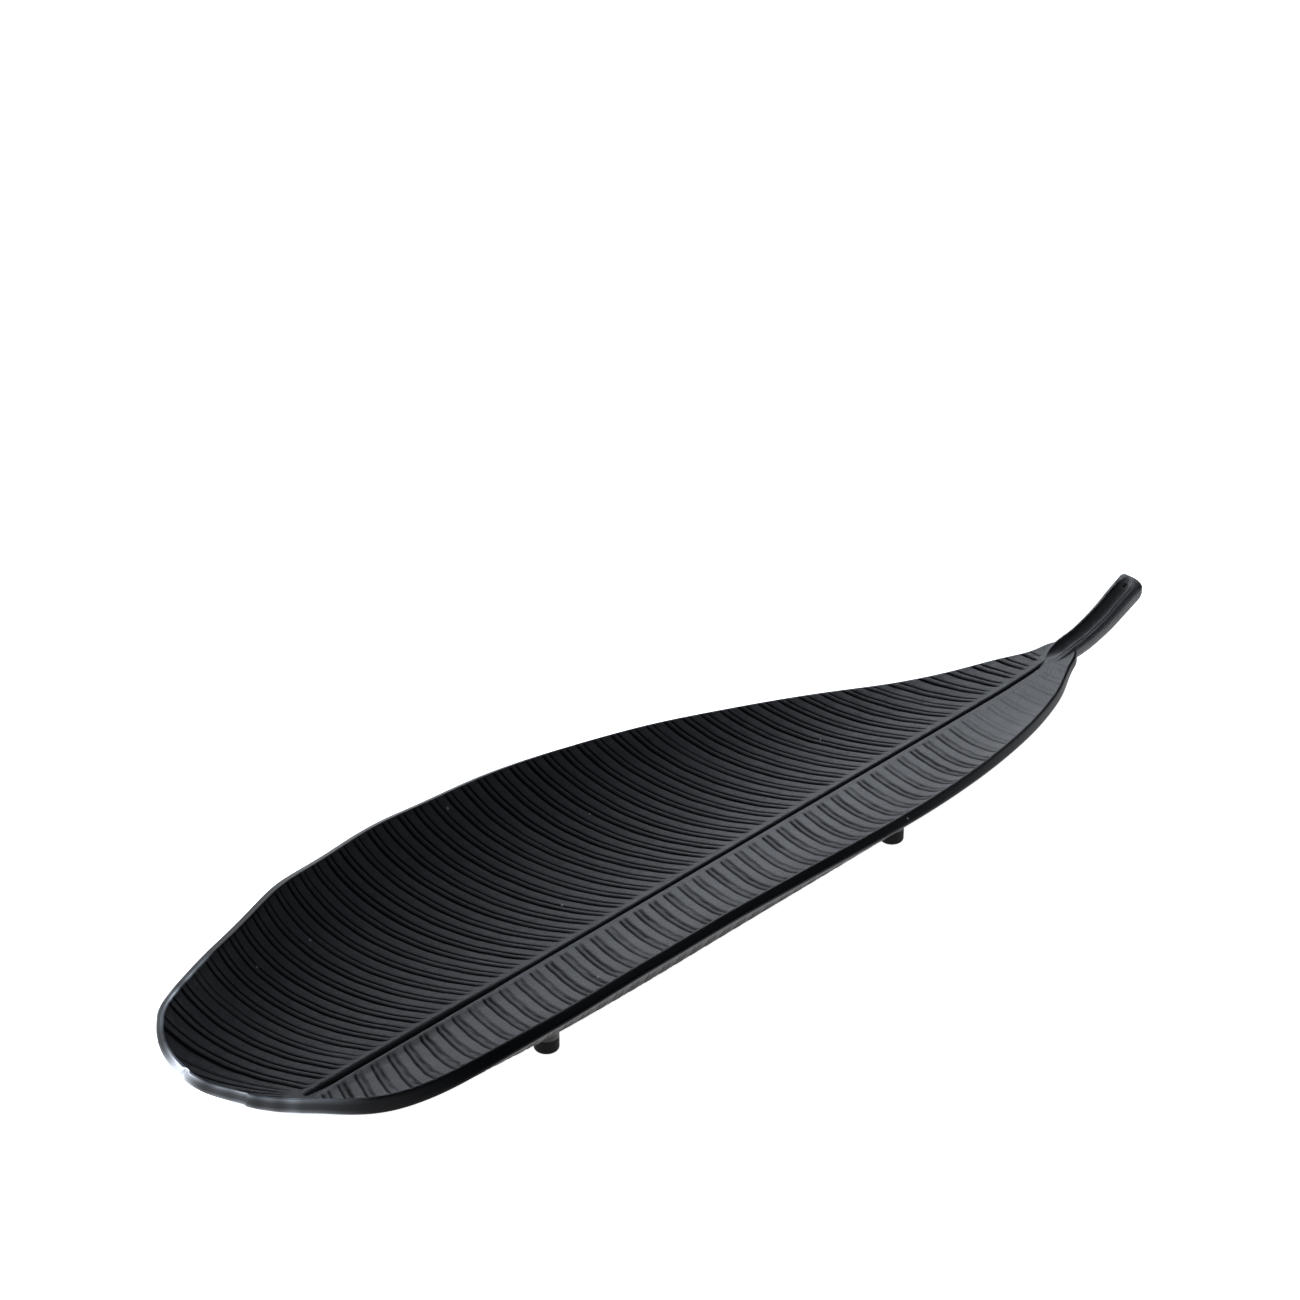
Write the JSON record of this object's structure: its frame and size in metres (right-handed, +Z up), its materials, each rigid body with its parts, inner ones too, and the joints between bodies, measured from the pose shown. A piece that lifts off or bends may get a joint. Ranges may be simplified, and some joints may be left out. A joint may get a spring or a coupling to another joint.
{
  "type": "leaf-shaped serving tray",
  "caption": "Long cast tray shaped as a rolled banana leaf, with a grooved midrib, a raised channelled stem to lift it by and small rubber feet",
  "frame": {"origin": "centre of the bounding box in plan, on the table plane under the feet", "axes": "+X along the leaf from its broad tip to the stem, +Y to the left half of the leaf, +Z up"},
  "size_m": [0.7042, 0.1976, 0.0702],
  "materials": {
    "tray_paint": "satin black lacquer over sand-cast aluminium, polished bright where the rim is rubbed",
    "foot_rubber": "matte black moulded rubber",
    "washer_steel": "zinc plated",
    "screw_steel": "zinc plated"
  },
  "bodies": {
    "root": {"leaf_tray": "tray_paint", "tip_left_foot": "foot_rubber", "tip_right_foot": "foot_rubber", "stem_left_foot": "foot_rubber", "stem_right_foot": "foot_rubber", "tip_left_washer": "washer_steel", "tip_right_washer": "washer_steel", "stem_left_washer": "washer_steel", "stem_right_washer": "washer_steel", "tip_left_screw": "screw_steel", "tip_right_screw": "screw_steel", "stem_left_screw": "screw_steel", "stem_right_screw": "screw_steel"}
  },
  "joints": []
}
